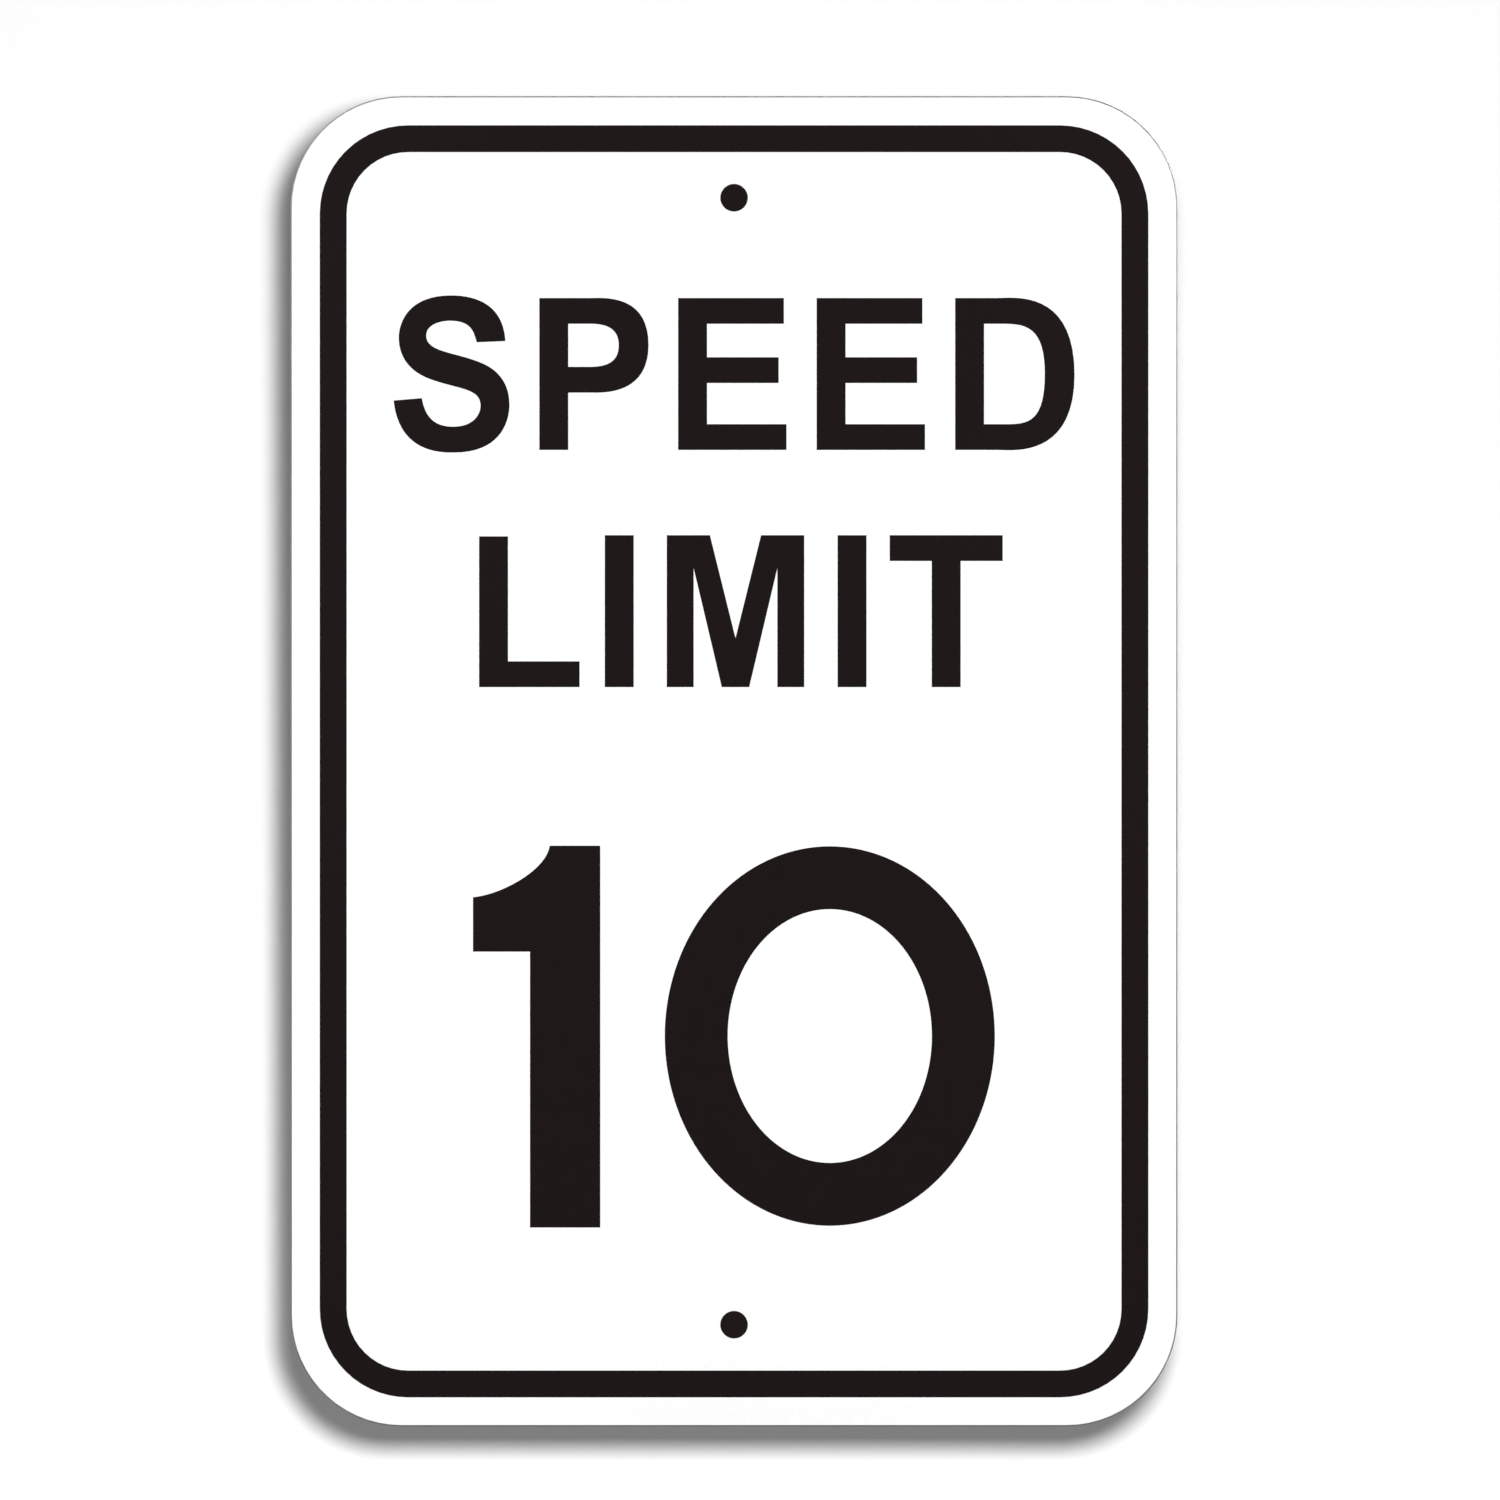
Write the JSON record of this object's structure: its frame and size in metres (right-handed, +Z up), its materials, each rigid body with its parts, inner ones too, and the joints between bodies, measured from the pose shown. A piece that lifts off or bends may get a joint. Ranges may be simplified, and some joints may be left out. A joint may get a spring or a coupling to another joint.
{
  "type": "speed limit sign",
  "caption": "Flat upright road sign on sheet aluminium: rounded corners, white face with a black border band, bolt holes at top and bottom.",
  "frame": {"origin": "on the back face, halfway between the two bolt holes", "axes": "+Z up the sign as it is read, +X to the reader's right, and the face looks along -Y, so +Y points out of the back face into the post"},
  "size_m": [0.3048, 0.0013, 0.4572],
  "materials": {
    "aluminium_sheet": "satin",
    "white_sheeting": "satin",
    "black_print": "satin"
  },
  "bodies": {
    "root": {"aluminium_blank": "aluminium_sheet", "face_sheeting": "white_sheeting", "border_band": "black_print"}
  },
  "joints": []
}
